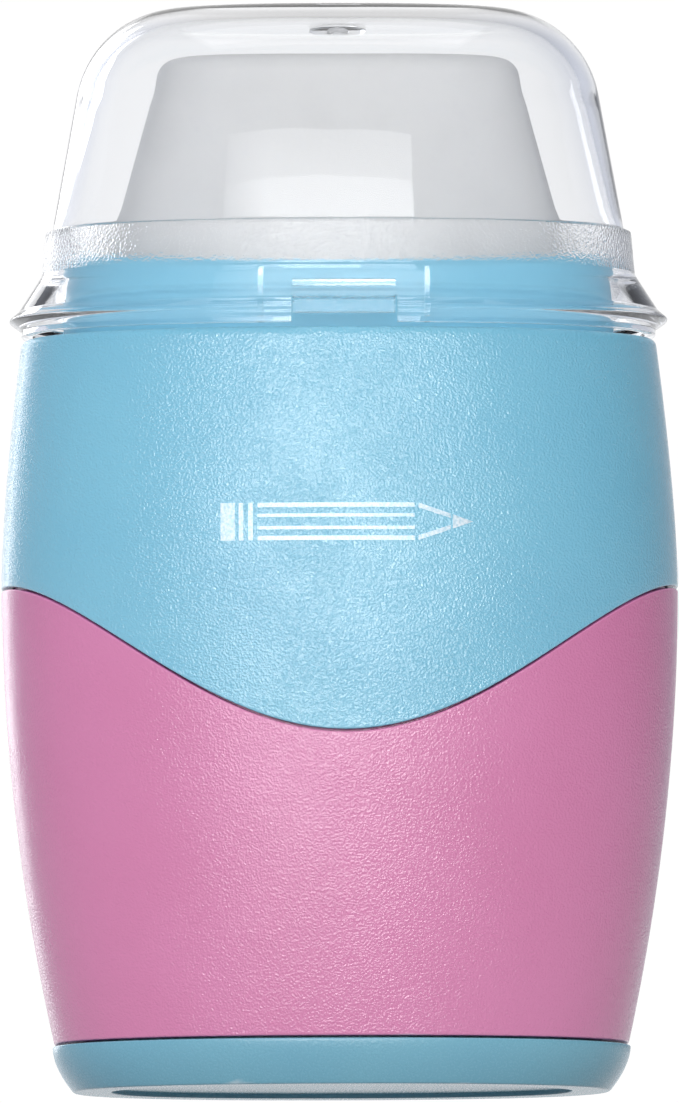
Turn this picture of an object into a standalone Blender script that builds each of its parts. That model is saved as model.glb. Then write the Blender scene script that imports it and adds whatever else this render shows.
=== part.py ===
"""Hand pencil sharpener: an oval canister on a base lid, with an eraser under a clear pull-off cap.

Metres, +Z up. +X runs across the wide face and -Y is the front. The origin is at the middle of the underside.
The lower shell carries the two-hole sharpener and lifts off the base lid, which covers its pencil holes. The
upper shell lifts off the lower shell to empty the shavings, and the cap lifts off the upper shell.
"""

import math

import bmesh
import bpy
from mathutils import Matrix, Vector

MM = 0.001

# Plan shape. Each level is a rounded oval, |x / half_width|^n + |y / half_depth|^n = 1.
OVAL_POWER = 2.3
OVAL_POINTS = 40
ERASER_POWER = 3.2
DEPTH_RATIO = 0.6

# Side profile of the housing: widest part way up, drawn in below and above.
WIDEST_Z = 34.0 * MM
WIDEST_HALF_WIDTH = 22.5 * MM
LOWER_TAPER = 3.35 * MM
LOWER_TAPER_SPAN = 30.5 * MM
UPPER_TAPER = 1.4 * MM
UPPER_TAPER_SPAN = 16.0 * MM

# Housing walls, and the wave-shaped seam between its two shells.
WALL = 1.5 * MM
GAP = 0.3 * MM
BASE_TOP_Z = 3.0 * MM
HOUSING_FOOT_Z = BASE_TOP_Z + GAP
SEAM_SIDE_Z = 33.4 * MM
SEAM_DIP = 10.2 * MM
SEAM_POWER = 1.6
TONGUE_HEIGHT = 2.5 * MM
TONGUE_WALL = 0.65 * MM
SHELL_ROWS = 6

# Shoulder and neck that the cap pushes onto.
SHOULDER_Z = 50.0 * MM
SHOULDER_ROUND = 0.6 * MM
NECK_HALF_WIDTH = 18.3 * MM
NECK_HALF_DEPTH = 10.5 * MM
NECK_WALL = 1.2 * MM
NECK_TOP_Z = 55.4 * MM
NECK_SCALLOP = 0.9 * MM
NECK_CHAMFER = 0.5 * MM
NECK_CHAMFER_HEIGHT = 0.7 * MM
SNAP_BEAD_Z = 52.8 * MM
SNAP_BEAD = 0.15 * MM

# Eraser and the tray that holds it.
TRAY_WALL = 0.9 * MM
TRAY_FLOOR_Z = 45.2 * MM
TRAY_FLOOR = 1.0 * MM
TRAY_FLANGE_OUT = 1.8 * MM
TRAY_FLANGE = 1.2 * MM
ERASER_TOP_Z = 68.7 * MM
ERASER_TOP_HALF_WIDTH = 12.0 * MM
ERASER_TOP_HALF_DEPTH = 6.3 * MM
ERASER_TAPER_Z = 55.0 * MM
ERASER_ROUND = 1.2 * MM

# Clear cap.
CAP_FOOT_Z = 50.3 * MM
CAP_WALL = 1.0 * MM
CAP_TOP_Z = 72.2 * MM
CAP_TOP_HALF_WIDTH = 10.5 * MM
CAP_CORNER = 7.0 * MM
CAP_CORNER_START = math.radians(11.5)
CAP_CORNER_STEPS = 6
CAP_BAND_Z = 57.2 * MM
CAP_SIDE_HALF_WIDTH = 19.05 * MM
CAP_BAND_HALF_WIDTH = 19.5 * MM
CAP_BAND_FOOT_HALF_WIDTH = 19.75 * MM
CAP_DEPTH_SHRINK = 0.8
CAP_FLARE_Z = 53.8 * MM
CAP_CREST_Z = 51.5 * MM
CAP_CREST_HALF_WIDTH = 22.0 * MM
CAP_FOOT_HALF_WIDTH = 21.3 * MM
NOTCH_HALF_WIDTH = 3.5 * MM
NOTCH_TOP_Z = 52.1 * MM

# Base lid with its recessed underside, and the spigot that plugs into the lower shell's skirt.
BASE_HALF_WIDTH = 19.2 * MM
BASE_TAPER = 1.4 * MM
BASE_TAPER_POWER = 1.8
BASE_ROWS = 6
BASE_TOP_EDGE = 0.15 * MM
BASE_RIM = 2.5 * MM
BASE_RECESS = 0.3 * MM
BASE_FLOOR = 1.5 * MM
SPIGOT_TOP_Z = 6.0 * MM
SPIGOT_WALL = 1.2 * MM
SPIGOT_CHAMFER = 0.3 * MM

# Lower shell's floor, with the pencil holes and a pocket wall round the sharpener.
FLOOR_Z = SPIGOT_TOP_Z + 0.4 * MM
FLOOR = 1.6 * MM
FLOOR_TOP_Z = FLOOR_Z + FLOOR
POCKET_WALL = 1.0 * MM
POCKET_HEIGHT = 2.5 * MM

# Two-hole sharpener. Both cones have the same taper and meet the sloped front face alike.
BLOCK_HALF_WIDTH = 12.0 * MM
BLOCK_HALF_DEPTH = 6.5 * MM
BLOCK_HEIGHT = 25.0 * MM
BLOCK_FOOT_Z = FLOOR_TOP_Z + GAP
BLOCK_COLLAR = 3.0 * MM
BLOCK_EDGE = 1.2 * MM
CONE_SLOPE = math.tan(math.radians(11.5))
FACE_BREAKTHROUGH = 0.7 * MM
LARGE_BORE_X = -5.4 * MM
LARGE_BORE_RADIUS = 5.6 * MM
LARGE_BORE_STRAIGHT = 1.0 * MM
SMALL_BORE_X = 5.5 * MM
SMALL_BORE_RADIUS = 4.1 * MM
ENTRY_CLEARANCE = 0.2 * MM
ENTRY_CHAMFER = 0.5 * MM
BORE_SIDES = 32

# Blades and their screws, set on the sloped face.
SEAT_GAP = 0.12 * MM
BLADE_WIDTH = 6.4 * MM
BLADE_FOOT = 1.1 * MM
BLADE_LENGTH = 20.8 * MM
BLADE_THICKNESS = 0.6 * MM
BLADE_EDGE = 0.12 * MM
BLADE_GRIND = 1.5 * MM
SCREW_OFFSET = 4.1 * MM
SCREW_UP_SLOPE = 13.5 * MM
SCREW_HEAD_RADIUS = 2.0 * MM
SCREW_HEAD = 1.0 * MM
SCREW_SHANK_RADIUS = 0.9 * MM
SCREW_SHANK = 4.0 * MM
SCREW_SLOT = 0.5 * MM
SCREW_HOLE_CLEARANCE = 0.3 * MM
SCREW_SIDES = 20

# Colours are linear.
BLUE = (0.29, 0.62, 0.76)
PINK = (0.73, 0.32, 0.54)
WHITE = (0.87, 0.88, 0.89)
CLEAR = (0.92, 0.94, 0.97)
ALLOY = (0.62, 0.63, 0.65)
STEEL = (0.55, 0.56, 0.58)


def clear_scene():
    """Remove every object, so the model starts from nothing."""
    for thing in list(bpy.data.objects):
        bpy.data.objects.remove(thing, do_unlink=True)


def plastic(name, colour, roughness, metallic=0.0, alpha=1.0):
    """A Principled material."""
    material = bpy.data.materials.new(name)
    material.use_nodes = True
    shader = material.node_tree.nodes["Principled BSDF"]
    shader.inputs["Base Color"].default_value = (*colour, 1.0)
    shader.inputs["Roughness"].default_value = roughness
    shader.inputs["Metallic"].default_value = metallic
    shader.inputs["Alpha"].default_value = alpha
    return material


def new_object(name, mesh_edit, material=None, matrix=None):
    """Turn a bmesh into a named object with outward faces and smooth shading between sharp edges."""
    bmesh.ops.recalc_face_normals(mesh_edit, faces=mesh_edit.faces)
    mesh = bpy.data.meshes.new(name)
    mesh_edit.to_mesh(mesh)
    mesh_edit.free()
    if matrix is not None:
        mesh.transform(matrix)
    mesh.shade_smooth()
    mesh.set_sharp_from_angle(angle=math.radians(28))
    if material is not None:
        mesh.materials.append(material)
    thing = bpy.data.objects.new(name, mesh)
    bpy.context.scene.collection.objects.link(thing)
    return thing


def combine(target, tool, operation="DIFFERENCE"):
    """Cut the tool's shape out of the target, or add it with UNION. The tool itself is only a guide."""
    tool.hide_render = True
    tool.display_type = "WIRE"
    boolean = target.modifiers.new(tool.name, "BOOLEAN")
    boolean.operation = operation
    boolean.solver = "EXACT"
    boolean.object = tool


def hang(thing, parent):
    """Parent a piece and its guides to an empty on its joint's axis, leaving their shapes where they are."""
    guides = [modifier.object for modifier in thing.modifiers if modifier.type == "BOOLEAN"]
    for piece in [thing, *guides]:
        piece.data.transform(Matrix.Translation(-parent.location))
        piece.parent = parent


def slide_empty(name, z):
    """An empty on the vertical axis that a sliding body hangs from."""
    empty = bpy.data.objects.new(name, None)
    empty.location = (0, 0, z)
    bpy.context.scene.collection.objects.link(empty)
    return empty


def oval_unit(step, power=OVAL_POWER):
    """The point at one step round an oval with both half sizes equal to 1."""
    angle = 2 * math.pi * step / OVAL_POINTS
    x = math.copysign(abs(math.cos(angle)) ** (2 / power), math.cos(angle))
    y = math.copysign(abs(math.sin(angle)) ** (2 / power), math.sin(angle))
    return x, y


def side_half_width(z):
    """Half-width of the housing's outer face at a height."""
    if z < WIDEST_Z:
        return WIDEST_HALF_WIDTH - LOWER_TAPER * ((WIDEST_Z - z) / LOWER_TAPER_SPAN) ** 2
    return WIDEST_HALF_WIDTH - UPPER_TAPER * ((z - WIDEST_Z) / UPPER_TAPER_SPAN) ** 1.5


def seam_z(side):
    """Height of the wave seam; side is 0 at the middle of the front and 1 at the edge."""
    return SEAM_SIDE_Z - SEAM_DIP * (1 - side * side) ** SEAM_POWER


def housing_level(z, inset=0.0):
    """A level of the housing, inset from its outer face."""
    half_width = side_half_width(z)
    return z, half_width - inset, half_width * DEPTH_RATIO - inset


def rows(low, high, inset=0.0):
    """Evenly spaced housing levels from one height to another."""
    heights = [low + (high - low) * row / SHELL_ROWS for row in range(SHELL_ROWS + 1)]
    return [housing_level(z, inset) for z in heights]


def oval_loft(name, section, material=None, tube=False):
    """A body made of columns round the oval.

    section(side) gives the levels (z, half_width, half_depth) of one column, with an optional fourth value, the
    level's own oval power; side is |x| / half_width. A tube's levels go right round its wall and join up.
    Otherwise the first and last levels are each closed by a face, so that levels up one side of a wall and
    down the other make a cup.
    """
    mesh_edit = bmesh.new()
    columns = []
    for step in range(OVAL_POINTS):
        column = []
        for z, half_width, half_depth, *power in section(abs(oval_unit(step)[0])):
            x, y = oval_unit(step, *power)
            column.append(mesh_edit.verts.new((x * half_width, y * half_depth, z)))
        columns.append(column)
    count = len(columns[0])
    for step, column in enumerate(columns):
        following = columns[(step + 1) % OVAL_POINTS]
        for point in range(count if tube else count - 1):
            after = (point + 1) % count
            mesh_edit.faces.new((column[point], following[point], following[after], column[after]))
    if not tube:
        mesh_edit.faces.new([column[0] for column in reversed(columns)])
        mesh_edit.faces.new([column[-1] for column in columns])
    return new_object(name, mesh_edit, material)


def turned(name, profile, sides, material=None, matrix=None):
    """A solid of revolution about Z through (radius, z) points from one end to the other."""
    mesh_edit = bmesh.new()
    rings = []
    for radius, z in profile:
        ring = []
        for step in range(sides):
            angle = 2 * math.pi * step / sides
            ring.append(mesh_edit.verts.new((radius * math.cos(angle), radius * math.sin(angle), z)))
        rings.append(ring)
    for ring, following in zip(rings, rings[1:]):
        for step in range(sides):
            after = (step + 1) % sides
            mesh_edit.faces.new((ring[step], ring[after], following[after], following[step]))
    mesh_edit.faces.new(list(reversed(rings[0])))
    mesh_edit.faces.new(rings[-1])
    return new_object(name, mesh_edit, material, matrix)


def extruded(name, outline, low, high, material=None, matrix=None):
    """A prism along Z with a flat outline of (x, y) points."""
    mesh_edit = bmesh.new()
    bottom = [mesh_edit.verts.new((x, y, low)) for x, y in outline]
    top = [mesh_edit.verts.new((x, y, high)) for x, y in outline]
    count = len(outline)
    for point in range(count):
        after = (point + 1) % count
        mesh_edit.faces.new((bottom[point], bottom[after], top[after], top[point]))
    mesh_edit.faces.new(list(reversed(bottom)))
    mesh_edit.faces.new(top)
    return new_object(name, mesh_edit, material, matrix)


def rectangle(half_width, half_depth, corner):
    """A rectangle's outline with each corner cut off."""
    outline = []
    for sign_x, sign_y, across_first in ((1, -1, True), (1, 1, False), (-1, 1, True), (-1, -1, False)):
        near = (sign_x * (half_width - corner), sign_y * half_depth)
        far = (sign_x * half_width, sign_y * (half_depth - corner))
        outline += [near, far] if across_first else [far, near]
    return outline


# Housing


def lower_shell(material):
    """Lower shell: a wave edge with a tongue, and a floor that holds the sharpener over two pencil holes."""
    def section(side):
        edge = seam_z(side) - GAP / 2
        tongue_inset = WALL - TONGUE_WALL
        outer = rows(HOUSING_FOOT_Z, edge)
        tongue = [
            housing_level(edge, tongue_inset),
            housing_level(edge + TONGUE_HEIGHT, tongue_inset),
            housing_level(edge + TONGUE_HEIGHT, WALL),
        ]
        inner = rows(FLOOR_TOP_Z, edge, WALL)[::-1]
        skirt = [housing_level(FLOOR_Z, WALL), housing_level(HOUSING_FOOT_Z, WALL)]
        return skirt + outer + tongue + inner
    shell = oval_loft("lower_shell", section, material)
    pocket = (BLOCK_HALF_WIDTH + GAP, BLOCK_HALF_DEPTH + GAP)
    wall = rectangle(pocket[0] + POCKET_WALL, pocket[1] + POCKET_WALL, BLOCK_EDGE + POCKET_WALL / 2)
    top = FLOOR_TOP_Z + POCKET_HEIGHT
    combine(shell, extruded("pocket_wall_guide", wall, FLOOR_TOP_Z - FLOOR / 2, top), "UNION")
    hollow = rectangle(*pocket, BLOCK_EDGE)
    combine(shell, extruded("pocket_guide", hollow, FLOOR_TOP_Z, top + 1 * MM))
    large = ("large", LARGE_BORE_X, LARGE_BORE_RADIUS)
    small = ("small", SMALL_BORE_X, SMALL_BORE_RADIUS)
    for name, x, radius in (large, small):
        entry = radius + ENTRY_CLEARANCE
        flare = entry + ENTRY_CHAMFER
        profile = [
            (flare, FLOOR_Z - 1 * MM),
            (flare, FLOOR_Z),
            (entry, FLOOR_Z + ENTRY_CHAMFER),
            (entry, FLOOR_TOP_Z + 1 * MM),
        ]
        place = Matrix.Translation((x, 0, 0))
        combine(shell, turned(name + "_entry_guide", profile, BORE_SIDES, matrix=place))
    return shell


def upper_shell(material):
    """Upper shell: its wave edge laps over the tongue, and its neck holds the eraser tray."""
    def section(side):
        edge = seam_z(side) + GAP / 2
        shoulder_edge = SHOULDER_Z - SHOULDER_ROUND
        outer = rows(edge, shoulder_edge)
        outer.append(housing_level(SHOULDER_Z - SHOULDER_ROUND * 0.3, SHOULDER_ROUND * 0.25))
        outer.append((SHOULDER_Z, *housing_level(SHOULDER_Z, SHOULDER_ROUND)[1:]))
        rim = NECK_TOP_Z - NECK_SCALLOP * (1 - side * side)
        neck = [
            neck_level(SHOULDER_Z, 0.0),
            neck_level(SNAP_BEAD_Z - 2 * SNAP_BEAD, 0.0),
            neck_level(SNAP_BEAD_Z, -SNAP_BEAD),
            neck_level(SNAP_BEAD_Z + 2 * SNAP_BEAD, 0.0),
            neck_level(rim - NECK_CHAMFER_HEIGHT, 0.0),
            neck_level(rim, NECK_CHAMFER),
            neck_level(rim, NECK_WALL),
            neck_level(SHOULDER_Z - WALL, NECK_WALL),
        ]
        lap = edge + TONGUE_HEIGHT
        lip = WALL - TONGUE_WALL - GAP
        inner = rows(lap, SHOULDER_Z - WALL, WALL)[::-1]
        rebate = [housing_level(lap, lip), housing_level(edge, lip)]
        return outer + neck + inner + rebate
    return oval_loft("upper_shell", section, material, tube=True)


def neck_level(z, inset):
    """A level of the neck, inset from its outer face."""
    return z, NECK_HALF_WIDTH - inset, NECK_HALF_DEPTH - inset


def eraser_tray(material):
    """Cup that holds the eraser, with a flange under the shoulder."""
    edge = TRAY_WALL / 3
    outside = NECK_WALL + GAP
    inside = outside + TRAY_WALL
    flange_top = SHOULDER_Z - WALL - GAP
    flange_foot = flange_top - TRAY_FLANGE
    rim = NECK_TOP_Z - NECK_SCALLOP - GAP
    levels = [
        neck_level(TRAY_FLOOR_Z, outside + edge),
        neck_level(TRAY_FLOOR_Z + edge, outside),
        neck_level(flange_foot, outside),
        neck_level(flange_foot, outside - TRAY_FLANGE_OUT),
        neck_level(flange_top, outside - TRAY_FLANGE_OUT),
        neck_level(flange_top, outside),
        neck_level(rim, outside),
        neck_level(rim, inside),
        neck_level(TRAY_FLOOR_Z + TRAY_FLOOR, inside),
    ]
    return oval_loft("eraser_tray", lambda side: levels, material)


def eraser(material):
    """Eraser: straight inside the tray, tapering above it, with a rounded top edge."""
    inside = NECK_WALL + GAP + TRAY_WALL + GAP
    foot_half_width = NECK_HALF_WIDTH - inside
    foot_half_depth = NECK_HALF_DEPTH - inside - GAP
    foot = TRAY_FLOOR_Z + TRAY_FLOOR + GAP
    levels = [
        (foot, foot_half_width - GAP, foot_half_depth - GAP),
        (foot + GAP, foot_half_width, foot_half_depth),
        (ERASER_TAPER_Z, foot_half_width, foot_half_depth),
    ]
    for angle in (0, 30, 60, 90):
        inset = ERASER_ROUND * (1 - math.cos(math.radians(angle)))
        half_width = ERASER_TOP_HALF_WIDTH - inset
        half_depth = ERASER_TOP_HALF_DEPTH - inset
        drop = ERASER_ROUND * (1 - math.sin(math.radians(angle)))
        levels.append((ERASER_TOP_Z - drop, half_width, half_depth, ERASER_POWER))
    return oval_loft("eraser", lambda side: levels, material)


# Cap


def cap_level(z, half_width, inset=0.0):
    """A level of the cap above its foot: its depth draws in more slowly than its width."""
    band_half_depth = CAP_SIDE_HALF_WIDTH * DEPTH_RATIO
    half_depth = band_half_depth - (CAP_SIDE_HALF_WIDTH - half_width) * CAP_DEPTH_SHRINK
    return z, half_width - inset, half_depth - inset


def cap_dome(corner, top_z, inset):
    """Levels of the cap's rounded top corner, bottom to top."""
    centre_z = CAP_TOP_Z - CAP_CORNER
    levels = []
    for step in range(CAP_CORNER_STEPS + 1):
        angle = CAP_CORNER_START + (math.pi / 2 - CAP_CORNER_START) * step / CAP_CORNER_STEPS
        half_width = CAP_TOP_HALF_WIDTH + CAP_CORNER * math.cos(angle)
        z = min(centre_z + corner * math.sin(angle), top_z)
        levels.append(cap_level(z, half_width, inset * math.cos(angle)))
    return levels


def clear_cap(material):
    """Clear cap: rounded top, straight band, and a flared foot with a notch at the front."""
    foot_half_depth = CAP_FOOT_HALF_WIDTH * DEPTH_RATIO
    crest_half_depth = CAP_CREST_HALF_WIDTH * DEPTH_RATIO
    inner_foot = 1.1 * MM
    inside = cap_dome(CAP_CORNER - CAP_WALL, CAP_TOP_Z - CAP_WALL, CAP_WALL)[::-1]
    inside += [
        cap_level(CAP_BAND_Z, CAP_SIDE_HALF_WIDTH, CAP_WALL * 0.4),
        cap_level(CAP_FLARE_Z, CAP_BAND_FOOT_HALF_WIDTH, CAP_WALL),
        (CAP_CREST_Z, CAP_CREST_HALF_WIDTH - 2 * CAP_WALL, crest_half_depth - 1.4 * CAP_WALL),
        (CAP_FOOT_Z, CAP_FOOT_HALF_WIDTH - inner_foot, foot_half_depth - inner_foot),
    ]
    outside = [
        (CAP_FOOT_Z, CAP_FOOT_HALF_WIDTH, foot_half_depth),
        (CAP_CREST_Z - 0.5 * MM, CAP_CREST_HALF_WIDTH - 0.2 * MM, crest_half_depth - 0.2 * MM),
        (CAP_CREST_Z, CAP_CREST_HALF_WIDTH, crest_half_depth),
        (CAP_CREST_Z + 0.6 * MM, CAP_CREST_HALF_WIDTH - 0.6 * MM, crest_half_depth - 0.6 * MM),
        cap_level(CAP_FLARE_Z, CAP_BAND_FOOT_HALF_WIDTH + 0.3 * MM),
        cap_level(CAP_FLARE_Z + 0.5 * MM, CAP_BAND_FOOT_HALF_WIDTH),
        cap_level(CAP_BAND_Z, CAP_BAND_HALF_WIDTH),
        cap_level(CAP_BAND_Z + 0.1 * MM, CAP_SIDE_HALF_WIDTH),
    ]
    outside += cap_dome(CAP_CORNER, CAP_TOP_Z, 0.0)
    cap = oval_loft("clear_cap", lambda side: inside + outside, material)
    notch = extruded(
        "notch_guide",
        [
            (-NOTCH_HALF_WIDTH, -crest_half_depth - 2 * MM),
            (NOTCH_HALF_WIDTH, -crest_half_depth - 2 * MM),
            (NOTCH_HALF_WIDTH, -NECK_HALF_DEPTH),
            (-NOTCH_HALF_WIDTH, -NECK_HALF_DEPTH),
        ],
        CAP_FOOT_Z - 1 * MM,
        NOTCH_TOP_Z,
    )
    combine(cap, notch)
    return cap


# Base


def base_level(z, inset=0.0):
    """A level of the base lid, inset from its curved side."""
    drop = (BASE_TOP_Z - z) / BASE_TOP_Z
    half_width = BASE_HALF_WIDTH - BASE_TAPER * drop ** BASE_TAPER_POWER
    return z, half_width - inset, half_width * DEPTH_RATIO - inset


def base_lid(material):
    """Base lid: a curved side, a shallow recess in the underside, and a spigot ring on top."""
    rim = base_level(0, BASE_RIM)[1:]
    side = [base_level((BASE_TOP_Z - BASE_TOP_EDGE) * row / BASE_ROWS) for row in range(BASE_ROWS + 1)]
    spigot = housing_level(HOUSING_FOOT_Z, WALL + GAP)[1:]
    spigot_inside = (spigot[0] - SPIGOT_WALL, spigot[1] - SPIGOT_WALL)
    levels = [(BASE_RECESS, *rim), (0, *rim)]
    levels += side
    levels += [
        base_level(BASE_TOP_Z, BASE_TOP_EDGE),
        (BASE_TOP_Z, *spigot),
        (SPIGOT_TOP_Z - SPIGOT_CHAMFER, *spigot),
        (SPIGOT_TOP_Z, spigot[0] - SPIGOT_CHAMFER, spigot[1] - SPIGOT_CHAMFER),
        (SPIGOT_TOP_Z, *spigot_inside),
        (BASE_RECESS + BASE_FLOOR, *spigot_inside),
    ]
    return oval_loft("base_lid", lambda side: levels, material)


# Sharpener


def face_y(height):
    """Y of the sloped front face at a height above the block's foot."""
    radius = LARGE_BORE_RADIUS - CONE_SLOPE * (height - LARGE_BORE_STRAIGHT)
    return -(radius - FACE_BREAKTHROUGH)


def face_frame(x, up_slope):
    """A frame on the sloped face: X along world X, Y up the slope, Z straight out of the face."""
    slope = math.atan(CONE_SLOPE)
    height = BLOCK_COLLAR + up_slope * math.cos(slope)
    origin = Vector((x, face_y(height), BLOCK_FOOT_Z + height))
    up = Vector((0, math.sin(slope), math.cos(slope)))
    out = Vector((1, 0, 0)).cross(up)
    turn = Matrix((Vector((1, 0, 0)), up, out)).transposed().to_4x4()
    return Matrix.Translation(origin) @ turn


def small_bore_straight():
    """Straight length of the small bore, so that its cone lines up with the large one."""
    return LARGE_BORE_STRAIGHT + (LARGE_BORE_RADIUS - SMALL_BORE_RADIUS) / CONE_SLOPE


def bore_guide(name, x, radius, straight):
    """A pencil bore: a straight entry and a cone that ends just past the top of the block."""
    end = BLOCK_HEIGHT + 0.5 * MM
    profile = [(radius, -1 * MM), (radius, straight), (radius - CONE_SLOPE * (end - straight), end)]
    return turned(name, profile, BORE_SIDES, matrix=Matrix.Translation((x, 0, BLOCK_FOOT_Z)))


def sharpener_body(material):
    """Sharpener block: a collar round the entries, a sloped front face, two bores and two screw holes."""
    side_view = [
        (-BLOCK_HALF_DEPTH, 0),
        (BLOCK_HALF_DEPTH, 0),
        (BLOCK_HALF_DEPTH, BLOCK_HEIGHT),
        (face_y(BLOCK_HEIGHT), BLOCK_HEIGHT),
        (face_y(BLOCK_COLLAR), BLOCK_COLLAR),
        (-BLOCK_HALF_DEPTH, BLOCK_COLLAR),
    ]
    stand_up = Matrix(((0, 0, 1, 0), (1, 0, 0, 0), (0, 1, 0, BLOCK_FOOT_Z), (0, 0, 0, 1)))
    block = extruded("sharpener_body", side_view, -BLOCK_HALF_WIDTH, BLOCK_HALF_WIDTH, material, stand_up)
    bevel = block.modifiers.new("edges", "BEVEL")
    bevel.width = BLOCK_EDGE * 0.6
    bevel.segments = 1
    bevel.limit_method = "ANGLE"
    bevel.angle_limit = math.radians(60)
    combine(block, bore_guide("large_bore_guide", LARGE_BORE_X, LARGE_BORE_RADIUS, LARGE_BORE_STRAIGHT))
    combine(block, bore_guide("small_bore_guide", SMALL_BORE_X, SMALL_BORE_RADIUS, small_bore_straight()))
    radius = SCREW_SHANK_RADIUS + SCREW_HOLE_CLEARANCE
    for name, bore_x in (("large", LARGE_BORE_X), ("small", SMALL_BORE_X)):
        frame = face_frame(bore_x + SCREW_OFFSET, SCREW_UP_SLOPE)
        profile = [(radius, -SCREW_SHANK - 0.5 * MM), (radius, 1 * MM)]
        combine(block, turned(name + "_screw_hole_guide", profile, SCREW_SIDES, matrix=frame))
    return block


def blade(name, bore_x, material):
    """A blade: a thin plate with one ground edge along the bore's middle, and a screw hole."""
    outline = [
        (0, 0),
        (BLADE_WIDTH, 0),
        (BLADE_WIDTH, BLADE_THICKNESS),
        (BLADE_GRIND, BLADE_THICKNESS),
        (0, BLADE_EDGE),
    ]
    along_slope = face_frame(bore_x, BLADE_FOOT) @ Matrix.Translation((0, 0, SEAT_GAP))
    swap = Matrix(((1, 0, 0, 0), (0, 0, 1, 0), (0, 1, 0, 0), (0, 0, 0, 1)))
    plate = extruded(name, outline, 0, BLADE_LENGTH, material, along_slope @ swap)
    radius = SCREW_SHANK_RADIUS + SCREW_HOLE_CLEARANCE
    frame = face_frame(bore_x + SCREW_OFFSET, SCREW_UP_SLOPE)
    hole = turned(name + "_hole_guide", [(radius, -1 * MM), (radius, 2 * MM)], SCREW_SIDES, matrix=frame)
    combine(plate, hole)
    return plate


def blade_screw(name, bore_x, material):
    """A slotted round-head screw through the blade into the block."""
    foot = SEAT_GAP * 2 + BLADE_THICKNESS
    profile = [
        (SCREW_SHANK_RADIUS * 0.6, -SCREW_SHANK),
        (SCREW_SHANK_RADIUS, -SCREW_SHANK + 0.6 * MM),
        (SCREW_SHANK_RADIUS, foot),
        (SCREW_HEAD_RADIUS, foot),
        (SCREW_HEAD_RADIUS, foot + SCREW_HEAD * 0.4),
        (SCREW_HEAD_RADIUS * 0.75, foot + SCREW_HEAD * 0.85),
        (SCREW_HEAD_RADIUS * 0.3, foot + SCREW_HEAD),
    ]
    frame = face_frame(bore_x + SCREW_OFFSET, SCREW_UP_SLOPE)
    screw = turned(name, profile, SCREW_SIDES, material, frame)
    half = SCREW_SLOT / 2
    reach = SCREW_HEAD_RADIUS * 1.5
    outline = [(-half, -reach), (half, -reach), (half, reach), (-half, reach)]
    slot_turn = frame @ Matrix.Rotation(math.radians(35), 4, "Z")
    slot = extruded(name + "_slot_guide", outline, foot + SCREW_HEAD * 0.5, foot + 2 * MM, matrix=slot_turn)
    combine(screw, slot)
    return screw


def build():
    """Make every piece and hang the moving ones from their slides."""
    clear_scene()
    blue = plastic("blue_plastic", BLUE, 0.42)
    pink = plastic("pink_plastic", PINK, 0.42)
    white = plastic("white_eraser", WHITE, 0.7)
    clear = plastic("clear_plastic", CLEAR, 0.06, alpha=0.35)
    alloy = plastic("sharpener_alloy", ALLOY, 0.45, metallic=1.0)
    steel = plastic("blade_steel", STEEL, 0.3, metallic=1.0)

    base_lid(blue)

    lower = slide_empty("lower_slide", HOUSING_FOOT_Z)
    hang(lower_shell(pink), lower)
    hang(sharpener_body(alloy), lower)
    for size, bore_x in (("large", LARGE_BORE_X), ("small", SMALL_BORE_X)):
        hang(blade("blade_" + size, bore_x, steel), lower)
        hang(blade_screw("screw_" + size, bore_x, steel), lower)

    upper = slide_empty("upper_slide", SEAM_SIDE_Z)
    hang(upper_shell(blue), upper)
    hang(eraser_tray(blue), upper)
    hang(eraser(white), upper)

    cap = slide_empty("cap_slide", CAP_FOOT_Z)
    hang(clear_cap(clear), cap)


build()
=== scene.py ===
"""Looks for the hand pencil sharpener: moulded shells, an eraser under a clear cap, and the sharpener inside.

Metres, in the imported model's frame: +Z up, +X across the wide face, -Y the front. Each piece here stands for
the CAD node of the same name and has that node's size, with finer curves, rounded edges and small details.
"""

import math

import bmesh
import bpy
from mathutils import Matrix, Vector


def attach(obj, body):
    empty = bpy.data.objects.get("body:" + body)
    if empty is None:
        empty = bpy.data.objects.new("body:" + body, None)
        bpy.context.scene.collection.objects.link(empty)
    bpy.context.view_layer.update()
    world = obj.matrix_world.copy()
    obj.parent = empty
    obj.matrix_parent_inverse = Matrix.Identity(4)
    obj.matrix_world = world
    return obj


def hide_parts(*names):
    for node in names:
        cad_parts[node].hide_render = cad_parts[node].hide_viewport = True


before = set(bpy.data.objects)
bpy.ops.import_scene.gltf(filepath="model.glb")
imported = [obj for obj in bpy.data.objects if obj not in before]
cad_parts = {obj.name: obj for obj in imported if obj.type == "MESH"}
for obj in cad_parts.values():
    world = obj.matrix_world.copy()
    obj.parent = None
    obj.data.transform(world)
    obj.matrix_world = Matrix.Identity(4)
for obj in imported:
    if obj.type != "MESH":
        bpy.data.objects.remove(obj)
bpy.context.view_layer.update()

MM = 0.001

# Plan shape. Each level is a rounded oval, |x / half_width|^n + |y / half_depth|^n = 1.
OVAL_POWER = 2.3
ERASER_POWER = 3.2
COLUMNS = 176
DEPTH_RATIO = 0.6
ROUND_STEPS = 4
CORNER_STEPS = 6

# Side profile of the housing: widest part way up, drawn in below and above.
WIDEST_Z = 34.0 * MM
WIDEST_HALF_WIDTH = 22.5 * MM
LOWER_TAPER = 3.35 * MM
LOWER_TAPER_SPAN = 30.5 * MM
UPPER_TAPER = 1.4 * MM
UPPER_TAPER_SPAN = 16.0 * MM

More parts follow.
